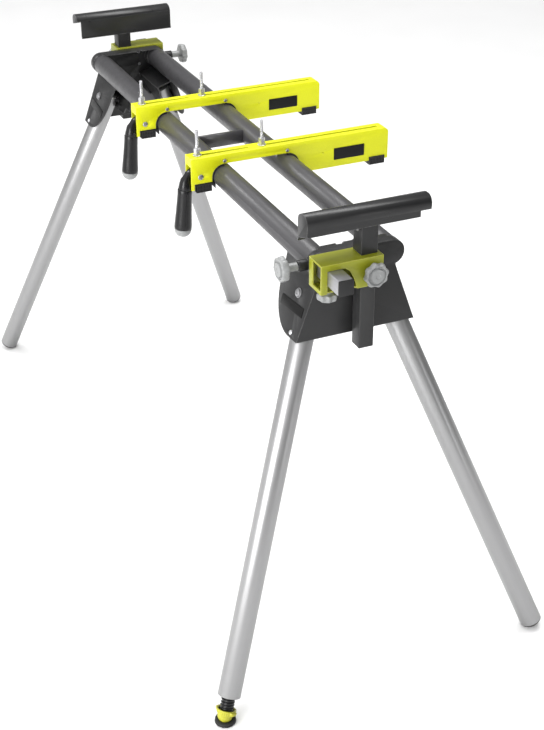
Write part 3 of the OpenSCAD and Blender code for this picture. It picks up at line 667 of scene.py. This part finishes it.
# radius, reach of the two ears, height of the knurl, and Z from the middle of the ball
COLLAR_PROFILE = [
    (13.9, 0, 0.1, 1.6), (14.5, 0.4, 0.2, 2.6), (14.7, 3.6, 0.25, 3.2), (15.0, 4.8, 0.25, 4.2),
    (15.8, 4.4, 0.3, 6.4), (16.3, 3.9, 0.3, 8.0), (16.5, 2.8, 0.3, 8.7), (16.6, 0.2, 0.2, 9.0),
    (16.5, 0, 0, 9.6), (16.2, 0, 0, 10.0), (14.2, 0, 0, 10.0), (13.5, 0, 0, 9.5),
    (13.4, 0, 0, 4.3), (12.8, 0, 0, 3.7), (5.7, 0, 0, 3.6), (5.6, 0, 0, -8.5)]
PAD_PROFILE = [
    (11.0, 7.1), (12.0, 7.3), (15.4, 7.2), (16.6, 6.6), (17.2, 5.6), (17.2, 4.9), (16.7, 4.5),
    (16.7, 4.0), (17.3, 3.6), (17.6, 2.6), (17.2, 1.2), (16.2, 0.3), (14.6, 0), (3, 0)]

ball_len = (PIVOT[2] - FOOT_BALL_Z) / TILT
neck = ball_len - (PIVOT[2] - LEVEL_Z) / TILT
ball = leg_frame("near", "left", opened=True) @ Matrix.Translation((0, 0, -ball_len))
screw = Shape().skin(thread(11.5, 9.4, 5.0, 4.5, neck + 34, 8, 48, 2.5))
screw.skin(lathe([(4.6, -8), (5.5, -7), (5.5, 4.7)], 40))
piece("levelling_screw_thread", screw, ball, BLACK, "levelling_foot",
      ["levelling_screw"])


def collar_radius(size, ear, knurl):
    def radius(a):
        turned = (a - EAR_TURN + math.pi / 2) % math.pi - math.pi / 2
        lug = max(0.0, 1 - (abs(turned) / EAR_HALF) ** 4) * ear
        return size + lug + (knurl * math.cos(COLLAR_KNURLS * a) if lug < 0.3 else 0)
    return radius


under = [(BALL_R * math.cos(math.radians(t)), 0, 0, BALL_R * math.sin(math.radians(t)))
         for t in range(-64, 1, 8)]
collar = Shape().skin([circle(collar_radius(size, ear, knurl), COLLAR_STEPS, z)
                       for size, ear, knurl, z in under + COLLAR_PROFILE], loop=True)
piece("levelling_collar_nut", collar, ball, LIME_PLASTIC, "levelling_collar",
      ["levelling_collar"])
dish = [(DISH_R * math.sin(math.radians(t)), FOOT_BALL_Z - DISH_R * math.cos(math.radians(t)))
        for t in range(2, 53, 5)]
pad_at = Matrix.Translation((ball.translation.x, ball.translation.y, 0))
piece("levelling_pad_rubber", Shape().skin(lathe(dish + PAD_PROFILE, 72)), pad_at, RUBBER,
      "levelling_foot", ["levelling_pad"])


# ---------- camera, lights and floor ----------

def camera():
    yaw, pitch, roll = (math.radians(v) for v in (66.32, -29.56, -0.31))
    look = Vector((-math.sin(yaw) * math.cos(pitch), math.cos(yaw) * math.cos(pitch),
                   math.sin(pitch)))
    level = Vector((math.cos(yaw), math.sin(yaw), 0))
    up = level.cross(look)
    right = level * math.cos(roll) + up * math.sin(roll)
    turned = Matrix((right, right.cross(look), -look)).transposed().to_4x4()
    turned.translation = (2.25487, -0.89788, 1.64127)
    made = bpy.data.objects.new("camera", bpy.data.cameras.new("camera"))
    made.data.lens = 68.87
    made.data.shift_x, made.data.shift_y = 0.0035, -0.0156
    made.data.clip_end = 60
    made.matrix_world = turned
    bpy.context.scene.collection.objects.link(made)
    bpy.context.scene.camera = made


def softbox(name, place, aim, size, watts):
    data = bpy.data.lights.new(name, "AREA")
    data.shape, data.size, data.size_y = "RECTANGLE", size[0], size[1]
    data.energy = watts
    made = bpy.data.objects.new(name, data)
    made.location = place
    made.rotation_euler = (Vector(aim) - Vector(place)).to_track_quat("-Z", "Y").to_euler()
    bpy.context.scene.collection.objects.link(made)


def floor():
    half = 14.0
    mesh = bpy.data.meshes.new("floor")
    mesh.from_pydata([(-half, -half, 0), (half, -half, 0), (half, half, 0), (-half, half, 0)], [],
                     [(0, 1, 2, 3)])
    made = bpy.data.objects.new("floor", mesh)
    bpy.context.scene.collection.objects.link(made)
    s = Surface("studio_floor")
    tone = s.blend(s.span(s.noise(1.5, 3), 0.3, 0.7), (0.90, 0.90, 0.90), (0.92, 0.92, 0.92))
    s.bump(s.noise(300, 2), 0.03, 0.0005)
    mesh.materials.append(s.finish(tone, s.span(s.noise(6, 3), 0.3, 0.7, 0.6, 0.75)))


# the soft light all round, and its lobes: towards, cosines at its rim and middle, and strength
FILL = 0.24
LIGHT_LOBES = (((0.15, -0.86, 0.49), -0.1, 0.95, 0.9), ((0, 0, 1), 0.1, 1.0, 0.35))


def studio():
    """Soft white surroundings, brightest from the lever side and above, dimmer on the long side."""
    world = bpy.data.worlds.new("studio")
    world.use_nodes = True
    nodes, links = world.node_tree.nodes, world.node_tree.links
    sky = nodes.new("ShaderNodeTexCoord").outputs["Generated"]
    total = None
    for towards, rim, middle, most in LIGHT_LOBES:
        dot = nodes.new("ShaderNodeVectorMath")
        dot.operation = "DOT_PRODUCT"
        links.new(sky, dot.inputs[0])
        dot.inputs[1].default_value = towards
        span = nodes.new("ShaderNodeMapRange")
        span.interpolation_type = "SMOOTHSTEP"
        for key, value in (("From Min", rim), ("From Max", middle), ("To Max", most)):
            span.inputs[key].default_value = value
        links.new(dot.outputs["Value"], span.inputs["Value"])
        both = nodes.new("ShaderNodeMath")
        both.operation = "ADD"
        both.inputs[0].default_value = FILL
        if total:
            links.new(total, both.inputs[0])
        links.new(span.outputs[0], both.inputs[1])
        total = both.outputs[0]
    nodes["Background"].inputs["Color"].default_value = (1, 1, 1, 1)
    links.new(total, nodes["Background"].inputs["Strength"])
    bpy.context.scene.world = world


camera()
floor()
softbox("key", (1.7, -3.0, 1.15), (0.3, 0, 0.45), (2.1, 1.9), 100)
softbox("overhead", (-0.3, 0.6, 2.9), (0, 0, 0.7), (2.2, 1.0), 55)
softbox("rail_rim", (-2.6, -1.2, 2.66), (0, 0, 0.7), (0.7, 0.7), 20)
softbox("low_right", (3.3, 1.6, 0.6), (0.6, 0.3, 0.4), (0.45, 1.0), 5)
studio()
bpy.context.scene.view_settings.view_transform = "Standard"
